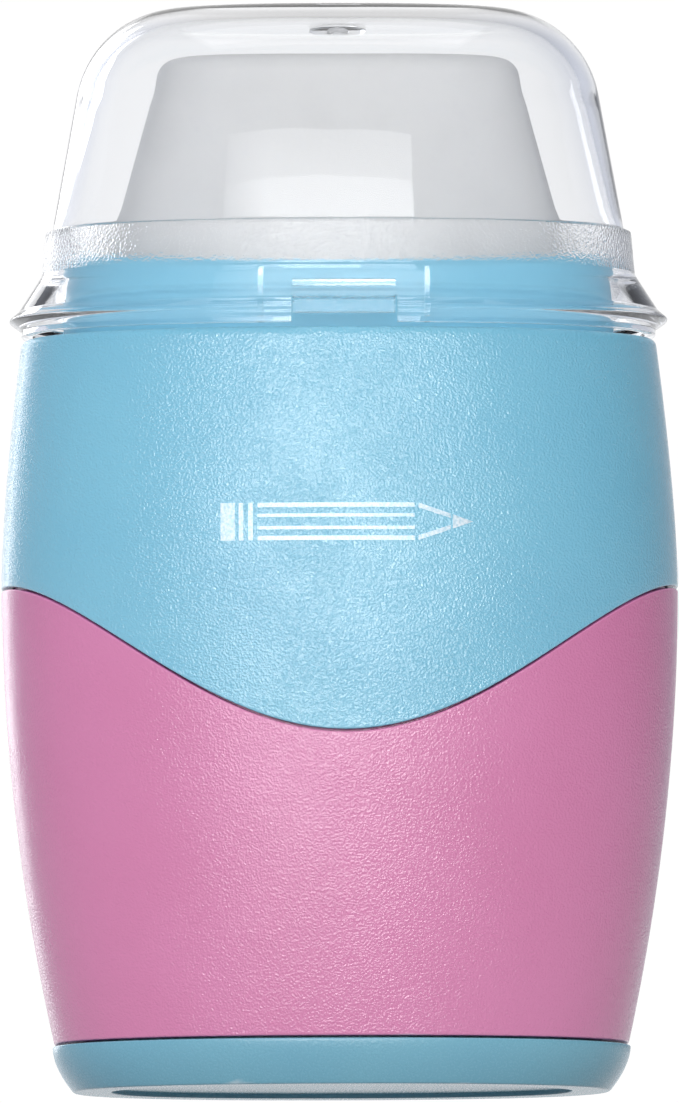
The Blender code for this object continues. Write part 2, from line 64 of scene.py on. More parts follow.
# Housing walls and the wave seam.
WALL = 1.5 * MM
GAP = 0.3 * MM
SEAM_GAP = 0.16 * MM
EDGE_ROUND = 0.16 * MM
BASE_TOP_Z = 3.0 * MM
HOUSING_FOOT_Z = BASE_TOP_Z + SEAM_GAP
SEAM_SIDE_Z = 33.4 * MM
SEAM_DIP = 10.2 * MM
SEAM_POWER = 1.6
TONGUE_HEIGHT = 2.5 * MM
TONGUE_WALL = 0.65 * MM
SHELL_ROWS = 20

# Shoulder and neck.
SHOULDER_Z = 50.0 * MM
SHOULDER_ROUND = 0.6 * MM
NECK_FOOT_ROUND = 0.25 * MM
NECK_HALF_WIDTH = 18.3 * MM
NECK_HALF_DEPTH = 10.5 * MM
NECK_WALL = 1.2 * MM
NECK_TOP_Z = 55.4 * MM
NECK_SCALLOP = 0.9 * MM
NECK_CHAMFER = 0.5 * MM
NECK_CHAMFER_HEIGHT = 0.7 * MM
SNAP_BEAD_Z = 52.8 * MM
SNAP_BEAD = 0.15 * MM

# Eraser and its tray.
TRAY_WALL = 0.9 * MM
TRAY_FLOOR_Z = 45.2 * MM
TRAY_FLOOR = 1.0 * MM
TRAY_FLANGE_OUT = 1.8 * MM
TRAY_FLANGE = 1.2 * MM
ERASER_TOP_Z = 68.7 * MM
ERASER_TOP_HALF_WIDTH = 12.0 * MM
ERASER_TOP_HALF_DEPTH = 6.3 * MM
ERASER_TAPER_Z = 55.0 * MM
ERASER_ROUND = 1.2 * MM
ERASER_ROWS = 16
ERASER_ROUND_STEPS = 10

# Clear cap: rounded top, frosted band, flared foot.
CAP_FOOT_Z = 50.3 * MM
CAP_WALL = 1.0 * MM
CAP_BAND_WALL = 0.45 * MM
CAP_TOP_Z = 72.2 * MM
CAP_TOP_HALF_WIDTH = 10.5 * MM
CAP_CORNER = 7.0 * MM
CAP_CORNER_START = math.radians(11.5)
CAP_CORNER_STEPS = 20
CAP_WALL_ROWS = 12
CAP_BAND_Z = 57.2 * MM
CAP_BAND_FOOT_Z = 54.4 * MM
CAP_SIDE_HALF_WIDTH = 19.05 * MM
CAP_BAND_HALF_WIDTH = 19.5 * MM
CAP_BAND_FOOT_HALF_WIDTH = 19.75 * MM
CAP_DEPTH_SHRINK = 0.8
CAP_FLARE_Z = 53.8 * MM
CAP_CREST_Z = 51.35 * MM
CAP_CREST_HALF_WIDTH = 22.0 * MM
CAP_CREST_WALL = 0.9 * MM
CAP_CREST_DEPTH_WALL = 1.2 * MM
CAP_FOOT_HALF_WIDTH = 21.1 * MM
CAP_FOOT_LIP = 0.4 * MM
CAP_FOOT_WALL = 0.8 * MM
NOTCH_HALF_WIDTH = 3.5 * MM
NOTCH_TOP_Z = 52.1 * MM
FROST_DEPTH = 0.35 * CAP_WALL
CAP_BULGE = 0.25 * MM

# Details moulded in the cap's front wall and ceiling.
FRONT_WALL_Y = -11.75 * MM
FRONT_INNER_Y = -10.85 * MM
PAD_CLEARANCE = 0.1 * MM
PAD_HEIGHT = 1.1 * MM
PAD_LEAN = 0.25 * MM
PAD_LIP = 0.25 * MM
RIB_X = 5.5 * MM
RIB_WIDTH = 0.35 * MM
RIB_FRONT_Y = -12.1 * MM
RIB_INNER_Y = -10.8 * MM
RIB_FOOT_Z = 50.8 * MM
RIB_TOP_Z = 54.0 * MM
GATE_RADIUS = 1.9 * MM
GATE_DEPTH = 0.45 * MM
GATE_SIDES = 48

# Base lid.
BASE_HALF_WIDTH = 19.2 * MM
BASE_TAPER = 1.4 * MM
BASE_TAPER_POWER = 1.8
BASE_ROWS = 14
BASE_RIM = 2.5 * MM
BASE_RECESS = 0.3 * MM
BASE_FLOOR = 1.5 * MM
BASE_RIM_ROUND = 0.08 * MM
SPIGOT_TOP_Z = 6.0 * MM
SPIGOT_WALL = 1.2 * MM
SPIGOT_ROUND = 0.3 * MM

# Lower shell's floor and the pocket for the sharpener.
FLOOR_Z = SPIGOT_TOP_Z + 0.4 * MM
FLOOR_TOP_Z = FLOOR_Z + 1.6 * MM
POCKET_WALL = 1.0 * MM
POCKET_HEIGHT = 2.5 * MM

# Two-hole sharpener.
BLOCK_HALF_WIDTH = 12.0 * MM
BLOCK_HALF_DEPTH = 6.5 * MM
BLOCK_HEIGHT = 25.0 * MM
BLOCK_FOOT_Z = FLOOR_TOP_Z + GAP
BLOCK_COLLAR = 3.0 * MM
BLOCK_EDGE = 1.2 * MM
CONE_SLOPE = math.tan(math.radians(11.5))
FACE_BREAKTHROUGH = 0.7 * MM
LARGE_BORE_X = -5.4 * MM
LARGE_BORE_RADIUS = 5.6 * MM
LARGE_BORE_STRAIGHT = 1.0 * MM
SMALL_BORE_X = 5.5 * MM
SMALL_BORE_RADIUS = 4.1 * MM
ENTRY_CLEARANCE = 0.2 * MM
ENTRY_CHAMFER = 0.5 * MM
BORE_SIDES = 96
GRIP_GROOVES = 5
GRIP_GROOVE = 0.35 * MM
GRIP_GROOVE_PITCH = 1.6 * MM
GRIP_GROOVE_MARGIN = 2 * MM
GRIP_GROOVE_SIDES = 16

# Blades and screws on the sloped face.
SEAT_GAP = 0.12 * MM
BLADE_WIDTH = 6.4 * MM
BLADE_FOOT = 1.1 * MM
BLADE_LENGTH = 20.8 * MM
BLADE_THICKNESS = 0.6 * MM
BLADE_EDGE = 0.12 * MM
BLADE_GRIND = 1.5 * MM
SCREW_OFFSET = 4.1 * MM
SCREW_UP_SLOPE = 13.5 * MM
SCREW_HEAD_RADIUS = 2.0 * MM
SCREW_HEAD = 1.0 * MM
SCREW_SHANK_RADIUS = 0.9 * MM
SCREW_SHANK = 4.0 * MM
SCREW_SLOT = 0.5 * MM
SCREW_SLOT_TURN = math.radians(35)
SCREW_HOLE_CLEARANCE = 0.3 * MM
SCREW_SIDES = 64
SCREW_DOME_STEPS = 8

# Printed pencil mark on the front of the upper shell.
MARK_Z = 37.0 * MM
MARK_HALF_HEIGHT = 1.25 * MM
MARK_THICKNESS = 0.02 * MM
MARK_CUT_EVERY = 0.4 * MM
MARK_CUTS_EACH_SIDE = 22

# Photo's viewpoint.
CAMERA_DISTANCE = 1.6
CAMERA_AZIMUTH = math.radians(-1.8)
CAMERA_ELEVATION = math.radians(-4.3)
CAMERA_ROLL = math.radians(-0.25)
CAMERA_TARGET = Vector((0, 0, 36.0 * MM))
CAMERA_LENS = 785.0


# Shapes


def level(z, half_width, half_depth, rounding=0.0, power=OVAL_POWER):
    """One level of a loft: (z, half_width, half_depth), how far its corner is rounded, and its power."""
    return Vector((z, half_width, half_depth)), rounding, power


def oval_unit(step, power=OVAL_POWER):
    """The point at one step round an oval with both half sizes equal to 1."""
    angle = 2 * math.pi * step / COLUMNS
    x = math.copysign(abs(math.cos(angle)) ** (2 / power), math.cos(angle))
    y = math.copysign(abs(math.sin(angle)) ** (2 / power), math.sin(angle))
    return x, y


def rounded_levels(levels, closed):
    """Swap each level that has a rounding for a short curve between its neighbours."""
    result = []
    for place, (point, rounding, power) in enumerate(levels):
        at_end = place in (0, len(levels) - 1) and not closed
        if rounding == 0 or at_end:
            result.append((point, power))
            continue
        before = levels[place - 1][0] - point
        after = levels[(place + 1) % len(levels)][0] - point
        start = point + before * min(0.5, rounding / before.length)
        end = point + after * min(0.5, rounding / after.length)
        for step in range(ROUND_STEPS + 1):
            share = step / ROUND_STEPS
            first = start.lerp(point, share)
            second = point.lerp(end, share)
            result.append((first.lerp(second, share), power))
    return result


def new_object(name, mesh_edit, looks=(), matrix=None):
    """Turn a bmesh into a named object with outward faces."""
    bmesh.ops.recalc_face_normals(mesh_edit, faces=mesh_edit.faces)
    mesh = bpy.data.meshes.new(name)
    mesh_edit.to_mesh(mesh)
    mesh_edit.free()
    if matrix is not None:
        mesh.transform(matrix)
    for look in looks:
        mesh.materials.append(look)
    thing = bpy.data.objects.new(name, mesh)
    bpy.context.scene.collection.objects.link(thing)
    return thing


def oval_loft(name, section, looks, closed=False):
    """A body made of columns round the oval; section(side) gives one column, side being |x| / half_width.

    A closed section goes right round a wall. An open one has its first and last levels closed by a face.
    """
    mesh_edit = bmesh.new()
    columns = []
    for step in range(COLUMNS):
        column = []
        for point, power in rounded_levels(section(abs(oval_unit(step)[0])), closed):
            x, y = oval_unit(step, power)
            column.append(mesh_edit.verts.new((x * point.y, y * point.z, point.x)))
        columns.append(column)
    count = len(columns[0])
    for step, column in enumerate(columns):
        following = columns[(step + 1) % COLUMNS]
        for place in range(count if closed else count - 1):
            after = (place + 1) % count
            mesh_edit.faces.new((column[place], following[place], following[after], column[after]))
    if not closed:
        mesh_edit.faces.new([column[0] for column in reversed(columns)])
        mesh_edit.faces.new([column[-1] for column in columns])
    return new_object(name, mesh_edit, looks)


def turned(name, profile, sides, looks=(), matrix=None):
    """A solid of revolution about Z through (radius, z) points from one end to the other."""
    mesh_edit = bmesh.new()
    rings = []
    for radius, z in profile:
        ring = []
        for step in range(sides):
            angle = 2 * math.pi * step / sides
            ring.append(mesh_edit.verts.new((radius * math.cos(angle), radius * math.sin(angle), z)))
        rings.append(ring)
    for ring, following in zip(rings, rings[1:]):
        for step in range(sides):
            after = (step + 1) % sides
            mesh_edit.faces.new((ring[step], ring[after], following[after], following[step]))
    mesh_edit.faces.new(list(reversed(rings[0])))
    mesh_edit.faces.new(rings[-1])
    return new_object(name, mesh_edit, looks, matrix)


def extruded(name, outline, low, high, looks=(), matrix=None):
    """A prism along Z with a flat outline of (x, y) points."""
    mesh_edit = bmesh.new()
    bottom = [mesh_edit.verts.new((x, y, low)) for x, y in outline]
    top = [mesh_edit.verts.new((x, y, high)) for x, y in outline]
    for place in range(len(outline)):
        after = (place + 1) % len(outline)
        mesh_edit.faces.new((bottom[place], bottom[after], top[after], top[place]))
    mesh_edit.faces.new(list(reversed(bottom)))
    mesh_edit.faces.new(top)
    return new_object(name, mesh_edit, looks, matrix)


def rectangle(half_width, half_depth, corner):
    """A rectangle's outline with rounded corners."""
    outline = []
    for quarter, (sign_x, sign_y) in enumerate(((1, 1), (-1, 1), (-1, -1), (1, -1))):
        for step in range(CORNER_STEPS + 1):
            angle = (quarter + step / CORNER_STEPS) * math.pi / 2
            x = sign_x * (half_width - corner) + corner * math.cos(angle)
            y = sign_y * (half_depth - corner) + corner * math.sin(angle)
            outline.append((x, y))
    return outline


def settle(thing, modifier):
    """Apply a modifier."""
    bpy.context.view_layer.objects.active = thing
    bpy.ops.object.modifier_apply(modifier=modifier.name)


def combine(target, tool, operation="DIFFERENCE"):
    """Cut the tool's shape out of the target, or add it with UNION, and remove the tool."""
    boolean = target.modifiers.new(tool.name, "BOOLEAN")
    boolean.operation = operation
    boolean.solver = "EXACT"
    boolean.object = tool
    settle(target, boolean)
    bpy.data.objects.remove(tool, do_unlink=True)


def soften(thing, width, angle=50, segments=2):
    """Round the sharp edges that the cuts leave."""
    bevel = thing.modifiers.new("edges", "BEVEL")
    bevel.width = width
    bevel.segments = segments
    bevel.limit_method = "ANGLE"
    bevel.angle_limit = math.radians(angle)
    settle(thing, bevel)


def finish_piece(thing, body, sharp_angle=35):
    """Shade a finished piece, and set it on its body."""
    thing.data.shade_smooth()
    thing.data.set_sharp_from_angle(angle=math.radians(sharp_angle))
    weighted = thing.modifiers.new("shading", "WEIGHTED_NORMAL")
    weighted.keep_sharp = True
    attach(thing, body)


# Housing


def side_half_width(z):
    """Half-width of the housing's outer face at a height."""
    if z < WIDEST_Z:
        return WIDEST_HALF_WIDTH - LOWER_TAPER * ((WIDEST_Z - z) / LOWER_TAPER_SPAN) ** 2
    return WIDEST_HALF_WIDTH - UPPER_TAPER * ((z - WIDEST_Z) / UPPER_TAPER_SPAN) ** 1.5


def seam_z(side):
    """Height of the wave seam; side is 0 at the middle of the front and 1 at the edge."""
    return SEAM_SIDE_Z - SEAM_DIP * (1 - side * side) ** SEAM_POWER


def housing_level(z, inset=0.0, rounding=0.0):
    """A level of the housing, inset from its outer face."""
    half_width = side_half_width(z)
    return level(z, half_width - inset, half_width * DEPTH_RATIO - inset, rounding)


def neck_level(z, inset, rounding=0.0):
    """A level of the neck, inset from its outer face."""
    return level(z, NECK_HALF_WIDTH - inset, NECK_HALF_DEPTH - inset, rounding)


def rows(low, high, inset=0.0, low_round=0.0, high_round=0.0):
    """Evenly spaced housing levels from one height to another."""
    levels = []
    for row in range(SHELL_ROWS + 1):
        rounding = low_round if row == 0 else high_round if row == SHELL_ROWS else 0.0
        levels.append(housing_level(low + (high - low) * row / SHELL_ROWS, inset, rounding))
    return levels


def lower_shell(look):
    """Lower shell: a wave edge with a tongue, and a floor with pencil holes and the sharpener's pocket."""
    def section(side):
        edge = seam_z(side) - SEAM_GAP / 2
        tongue_inset = WALL - TONGUE_WALL
        tongue = [
            housing_level(edge, tongue_inset),
            housing_level(edge + TONGUE_HEIGHT, tongue_inset, EDGE_ROUND),
            housing_level(edge + TONGUE_HEIGHT, WALL, EDGE_ROUND),
        ]
        outer = rows(HOUSING_FOOT_Z, edge, 0.0, EDGE_ROUND, EDGE_ROUND)
        inner = rows(FLOOR_TOP_Z, edge, WALL)[::-1]
        skirt = [housing_level(FLOOR_Z, WALL), housing_level(HOUSING_FOOT_Z, WALL, EDGE_ROUND)]
        return skirt + outer + tongue + inner
    shell = oval_loft("lower_shell_finish", section, [look])
    pocket = (BLOCK_HALF_WIDTH + GAP, BLOCK_HALF_DEPTH + GAP)
    wall = rectangle(pocket[0] + POCKET_WALL, pocket[1] + POCKET_WALL, BLOCK_EDGE + POCKET_WALL)
    top = FLOOR_TOP_Z + POCKET_HEIGHT
    combine(shell, extruded("pocket_wall", wall, FLOOR_TOP_Z - 0.8 * MM, top), "UNION")
    combine(shell, extruded("pocket", rectangle(*pocket, BLOCK_EDGE), FLOOR_TOP_Z, top + 1 * MM))
    for x, radius in ((LARGE_BORE_X, LARGE_BORE_RADIUS), (SMALL_BORE_X, SMALL_BORE_RADIUS)):
        entry = radius + ENTRY_CLEARANCE
        profile = [
            (entry + ENTRY_CHAMFER, FLOOR_Z - 1 * MM),
            (entry + ENTRY_CHAMFER, FLOOR_Z),
            (entry, FLOOR_Z + ENTRY_CHAMFER),
            (entry, FLOOR_TOP_Z + 1 * MM),
        ]
        combine(shell, turned("entry", profile, BORE_SIDES, matrix=Matrix.Translation((x, 0, 0))))
    finish_piece(shell, "lower")
    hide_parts("lower_shell")


def upper_shell(look, neck_look):
    """Upper shell: its wave edge laps over the tongue, and its smooth neck holds the eraser tray."""
    def section(side):
        edge = seam_z(side) + SEAM_GAP / 2
        outer = rows(edge, SHOULDER_Z, 0.0, EDGE_ROUND, SHOULDER_ROUND)
        rim = NECK_TOP_Z - NECK_SCALLOP * (1 - side * side)
        neck = [
            neck_level(SHOULDER_Z, 0.0, NECK_FOOT_ROUND),
            neck_level(SNAP_BEAD_Z - 2 * SNAP_BEAD, 0.0, SNAP_BEAD),
            neck_level(SNAP_BEAD_Z, -SNAP_BEAD, SNAP_BEAD),
            neck_level(SNAP_BEAD_Z + 2 * SNAP_BEAD, 0.0, SNAP_BEAD),
            neck_level(rim - NECK_CHAMFER_HEIGHT, 0.0, EDGE_ROUND),
            neck_level(rim, NECK_CHAMFER, EDGE_ROUND),
            neck_level(rim, NECK_WALL, EDGE_ROUND),
            neck_level(SHOULDER_Z - WALL, NECK_WALL),
        ]
        lap = edge + TONGUE_HEIGHT + GAP / 2
        lip = WALL - TONGUE_WALL - GAP / 2
        inner = rows(lap, SHOULDER_Z - WALL, WALL)[::-1]
        rebate = [housing_level(lap, lip), housing_level(edge, lip, EDGE_ROUND)]
        return outer + neck + inner + rebate
    shell = oval_loft("upper_shell_finish", section, [look, neck_look], closed=True)
    for face in shell.data.polygons:
        face.material_index = 1 if face.center.z > SHOULDER_Z + 0.1 * MM else 0
    finish_piece(shell, "upper")
    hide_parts("upper_shell")


def eraser_tray(look):
    """Cup that holds the eraser, with a flange under the shoulder."""
    outside = NECK_WALL + GAP
    inside = outside + TRAY_WALL
    flange_top = SHOULDER_Z - WALL - GAP
    flange_foot = flange_top - TRAY_FLANGE
    rim = NECK_TOP_Z - NECK_SCALLOP - GAP
    levels = [
        neck_level(TRAY_FLOOR_Z, outside + 2 * GAP),
        neck_level(TRAY_FLOOR_Z, outside, GAP),
        neck_level(flange_foot, outside, EDGE_ROUND),
        neck_level(flange_foot, outside - TRAY_FLANGE_OUT, EDGE_ROUND),
        neck_level(flange_top, outside - TRAY_FLANGE_OUT, EDGE_ROUND),
        neck_level(flange_top, outside),
        neck_level(rim, outside, EDGE_ROUND),
        neck_level(rim, inside, EDGE_ROUND),
        neck_level(TRAY_FLOOR_Z + TRAY_FLOOR, inside),
    ]
    tray = oval_loft("eraser_tray_finish", lambda side: levels, [look])
    finish_piece(tray, "upper")
    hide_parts("eraser_tray")


def eraser(look):
    """Eraser: straight inside the tray, tapering above it, with a rounded top edge."""
    inside = NECK_WALL + GAP + TRAY_WALL + GAP
    foot_half_width = NECK_HALF_WIDTH - inside
    foot_half_depth = NECK_HALF_DEPTH - inside - GAP
    foot = TRAY_FLOOR_Z + TRAY_FLOOR + GAP
    levels = [
        level(foot, foot_half_width - 2 * GAP, foot_half_depth - 2 * GAP),
        level(foot, foot_half_width, foot_half_depth, GAP),
    ]
    top = ERASER_TOP_Z - ERASER_ROUND
    for row in range(ERASER_ROWS + 1):
        share = row / ERASER_ROWS
        z = foot + GAP * 2 + (top - foot - GAP * 2) * share
        above = max(0.0, (z - ERASER_TAPER_Z) / (top - ERASER_TAPER_Z))
        half_width = foot_half_width + (ERASER_TOP_HALF_WIDTH - foot_half_width) * above
        half_depth = foot_half_depth + (ERASER_TOP_HALF_DEPTH - foot_half_depth) * above
        levels.append(level(z, half_width, half_depth, 0.0, OVAL_POWER + (ERASER_POWER - OVAL_POWER) * above))
    for step in range(1, ERASER_ROUND_STEPS + 1):
        angle = math.pi / 2 * step / ERASER_ROUND_STEPS
        inset = ERASER_ROUND * (1 - math.cos(angle))
        z = top + ERASER_ROUND * math.sin(angle)
        half_width = ERASER_TOP_HALF_WIDTH - inset
        levels.append(level(z, half_width, ERASER_TOP_HALF_DEPTH - inset, 0.0, ERASER_POWER))
    block = oval_loft("eraser_finish", lambda side: levels, [look])
    finish_piece(block, "upper")
    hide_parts("eraser")


# Cap


def cap_level(z, half_width, inset=0.0, rounding=0.0):
    """A level of the cap above its foot: its depth draws in more slowly than its width."""
    half_depth = CAP_SIDE_HALF_WIDTH * DEPTH_RATIO - (CAP_SIDE_HALF_WIDTH - half_width) * CAP_DEPTH_SHRINK
    return level(z, half_width - inset, half_depth - inset, rounding)


def flange_level(z, half_width, inset=0.0, rounding=0.0):
    """A level of the cap's flared foot."""
    return level(z, half_width - inset, half_width * DEPTH_RATIO - inset, rounding)


def cap_walls(low_inset, high_inset):
    """Levels of the cap's tall walls above the band, bottom to top; the wide faces bulge a little."""
    low_z = CAP_BAND_Z + 0.1 * MM
    high_z = CAP_TOP_Z - CAP_CORNER + CAP_CORNER * math.sin(CAP_CORNER_START)
    top_half_width = CAP_TOP_HALF_WIDTH + CAP_CORNER * math.cos(CAP_CORNER_START)
    levels = []
    for row in range(1, CAP_WALL_ROWS):
        share = row / CAP_WALL_ROWS
        half_width = CAP_SIDE_HALF_WIDTH + (top_half_width - CAP_SIDE_HALF_WIDTH) * share
        inset = low_inset + (high_inset - low_inset) * share
        point = cap_level(low_z + (high_z - low_z) * share, half_width, inset)
        point[0].z += CAP_BULGE * math.sin(math.pi * share)
        levels.append(point)
    return levels


def cap_dome(corner, top_z, inset):
    """Levels of the cap's rounded top corner, bottom to top."""
    centre_z = CAP_TOP_Z - CAP_CORNER
    levels = []
    for step in range(CAP_CORNER_STEPS + 1):
        angle = CAP_CORNER_START + (math.pi / 2 - CAP_CORNER_START) * step / CAP_CORNER_STEPS
        half_width = CAP_TOP_HALF_WIDTH + CAP_CORNER * math.cos(angle)
        z = min(centre_z + corner * math.sin(angle), top_z)
        levels.append(cap_level(z, half_width, inset * math.cos(angle)))
    return levels


def box(name, low, high, looks):
    """A block between two corners."""
    outline = [(low[0], low[1]), (high[0], low[1]), (high[0], high[1]), (low[0], high[1])]
    return extruded(name, outline, low[2], high[2], looks)


def cap_details(looks):
    """What is moulded on the cap: the notch's thumb pad, a snap ridge, two ribs and the gate mark."""
    wall = FRONT_WALL_Y
    inner = FRONT_INNER_Y
    half = NOTCH_HALF_WIDTH - PAD_CLEARANCE
    along_x = Matrix(((0, 0, 1, 0), (1, 0, 0, 0), (0, 1, 0, 0), (0, 0, 0, 1)))
    pad_foot = NOTCH_TOP_Z - PAD_HEIGHT
    pad_top = NOTCH_TOP_Z + PAD_LIP
    lip = wall - 2 * PAD_LEAN
    pad_outline = [
        (wall - PAD_LEAN, pad_foot),
        (inner, pad_foot),
        (inner, pad_top),
        (lip, pad_top),
        (lip, NOTCH_TOP_Z - 0.1 * MM),
        (wall - PAD_LEAN, NOTCH_TOP_Z - 0.3 * MM),
    ]
    pad = extruded("pad", pad_outline, -half, half, looks, along_x)
    for face in pad.data.polygons:
        face.material_index = 1
    ridge_outline = [(wall, 52.6 * MM), (inner, 52.85 * MM), (inner, 53.0 * MM), (wall, 53.3 * MM)]
    details = [pad, extruded("ridge", ridge_outline, -half, half, looks, along_x)]
    for x in (-RIB_X, RIB_X):
        low = (x - RIB_WIDTH / 2, RIB_FRONT_Y, RIB_FOOT_Z)
        details.append(box("rib", low, (x + RIB_WIDTH / 2, RIB_INNER_Y, RIB_TOP_Z), looks))
    ceiling = CAP_TOP_Z - CAP_WALL
    gate = [
        (GATE_RADIUS * 0.3, ceiling - GATE_DEPTH),
        (GATE_RADIUS * 0.8, ceiling - GATE_DEPTH * 0.8),
        (GATE_RADIUS, ceiling - GATE_DEPTH * 0.3),
        (GATE_RADIUS, ceiling + 0.2 * MM),
    ]
    details.append(turned("gate", gate, GATE_SIDES, looks))
    return details


def clear_cap(clear, frosted):
    """Clear cap: rounded top, frosted band, and a flared foot with a notch at the front."""
    inside = cap_dome(CAP_CORNER - CAP_WALL, CAP_TOP_Z - CAP_WALL, CAP_WALL)[::-1]
    inside += cap_walls(CAP_BAND_WALL, CAP_WALL * math.cos(CAP_CORNER_START))[::-1]
    inside += [
        cap_level(CAP_BAND_Z, CAP_SIDE_HALF_WIDTH, CAP_BAND_WALL, 0.4 * MM),
        cap_level(CAP_FLARE_Z, CAP_BAND_FOOT_HALF_WIDTH, 0.7 * CAP_WALL, 0.3 * MM),
        level(
            CAP_CREST_Z,
            CAP_CREST_HALF_WIDTH - CAP_CREST_WALL,
            CAP_CREST_HALF_WIDTH * DEPTH_RATIO - CAP_CREST_DEPTH_WALL,
            0.3 * MM,
        ),
        flange_level(CAP_FOOT_Z, CAP_FOOT_HALF_WIDTH, CAP_FOOT_WALL, 0.2 * MM),
    ]
    outside = [
        flange_level(CAP_FOOT_Z, CAP_FOOT_HALF_WIDTH, 0.0, 0.08 * MM),
        flange_level(CAP_FOOT_Z + CAP_FOOT_LIP, CAP_FOOT_HALF_WIDTH, 0.0, 0.08 * MM),
        flange_level(CAP_CREST_Z, CAP_CREST_HALF_WIDTH, 0.0, 0.3 * MM),
        flange_level(CAP_CREST_Z + 0.6 * MM, CAP_CREST_HALF_WIDTH, 0.7 * MM, 0.12 * MM),
        cap_level(CAP_FLARE_Z, CAP_BAND_FOOT_HALF_WIDTH + 0.35 * MM, 0.0, 0.15 * MM),
        cap_level(CAP_BAND_FOOT_Z, CAP_BAND_FOOT_HALF_WIDTH, 0.0, 0.15 * MM),
        cap_level(CAP_BAND_Z, CAP_BAND_HALF_WIDTH, 0.0, 0.12 * MM),
        cap_level(CAP_BAND_Z + 0.1 * MM, CAP_SIDE_HALF_WIDTH, 0.0, 0.12 * MM),
    ]
    outside += cap_walls(0.0, 0.0) + cap_dome(CAP_CORNER, CAP_TOP_Z, 0.0)
    looks = [clear, frosted]
    cap = oval_loft("clear_cap_finish", lambda side: inside + outside, looks)
    for face in cap.data.polygons:
        in_band = CAP_BAND_FOOT_Z < face.center.z < CAP_BAND_Z + 0.1 * MM
        side = abs(face.center.x / CAP_BAND_HALF_WIDTH) ** OVAL_POWER
        depth = CAP_BAND_HALF_WIDTH * DEPTH_RATIO
        oval = side + abs(face.center.y / depth) ** OVAL_POWER
        inner_limit = (1 - FROST_DEPTH / CAP_BAND_HALF_WIDTH) ** OVAL_POWER
        face.material_index = 1 if in_band and oval > inner_limit else 0
    front = -CAP_CREST_HALF_WIDTH * DEPTH_RATIO - 2 * MM
    notch_low = (-NOTCH_HALF_WIDTH, front, CAP_FOOT_Z - 1 * MM)
    combine(cap, box("notch", notch_low, (NOTCH_HALF_WIDTH, -NECK_HALF_DEPTH, NOTCH_TOP_Z), looks))
    for detail in cap_details(looks):
        combine(cap, detail, "UNION")
    finish_piece(cap, "cap")
    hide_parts("clear_cap")


# Base


def base_level(z, inset=0.0, rounding=0.0):
    """A level of the base lid, inset from its curved side."""
    drop = (BASE_TOP_Z - z) / BASE_TOP_Z
    half_width = BASE_HALF_WIDTH - BASE_TAPER * drop ** BASE_TAPER_POWER
    return level(z, half_width - inset, half_width * DEPTH_RATIO - inset, rounding)


def base_lid(look):
    """Base lid: a curved side, a shallow recess in the underside, and a spigot ring on top."""
    spigot = housing_level(HOUSING_FOOT_Z, WALL + GAP)[0]
    floor = BASE_RECESS + BASE_FLOOR
    levels = [base_level(0, BASE_RIM), base_level(0, BASE_RIM, BASE_RIM_ROUND)]
    levels[0][0].x = BASE_RECESS
    for row in range(BASE_ROWS + 1):
        rounding = EDGE_ROUND if row in (0, BASE_ROWS) else 0.0
        levels.append(base_level(BASE_TOP_Z * row / BASE_ROWS, 0.0, rounding))
    levels += [
        level(BASE_TOP_Z, spigot.y, spigot.z),
        level(SPIGOT_TOP_Z, spigot.y, spigot.z, SPIGOT_ROUND),
        level(SPIGOT_TOP_Z, spigot.y - SPIGOT_WALL, spigot.z - SPIGOT_WALL, EDGE_ROUND),
        level(floor, spigot.y - SPIGOT_WALL, spigot.z - SPIGOT_WALL),
    ]
    lid = oval_loft("base_lid_finish", lambda side: levels, [look])
    finish_piece(lid, "base")
    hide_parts("base_lid")


# Sharpener


def face_y(height):
    """Y of the sloped front face at a height above the block's foot."""
    radius = LARGE_BORE_RADIUS - CONE_SLOPE * (height - LARGE_BORE_STRAIGHT)
    return -(radius - FACE_BREAKTHROUGH)


def face_frame(x, up_slope):
    """A frame on the sloped face: X along world X, Y up the slope, Z straight out of the face."""
    slope = math.atan(CONE_SLOPE)
    height = BLOCK_COLLAR + up_slope * math.cos(slope)
    origin = Vector((x, face_y(height), BLOCK_FOOT_Z + height))
    up = Vector((0, math.sin(slope), math.cos(slope)))
    out = Vector((1, 0, 0)).cross(up)
    turn = Matrix((Vector((1, 0, 0)), up, out)).transposed().to_4x4()
    return Matrix.Translation(origin) @ turn


def bore(x, radius, straight):
    """A pencil bore: a straight entry and a cone that ends just past the top of the block."""
    end = BLOCK_HEIGHT + 0.5 * MM
    profile = [(radius, -1 * MM), (radius, straight), (radius - CONE_SLOPE * (end - straight), end)]
    return turned("bore", profile, BORE_SIDES, matrix=Matrix.Translation((x, 0, BLOCK_FOOT_Z)))


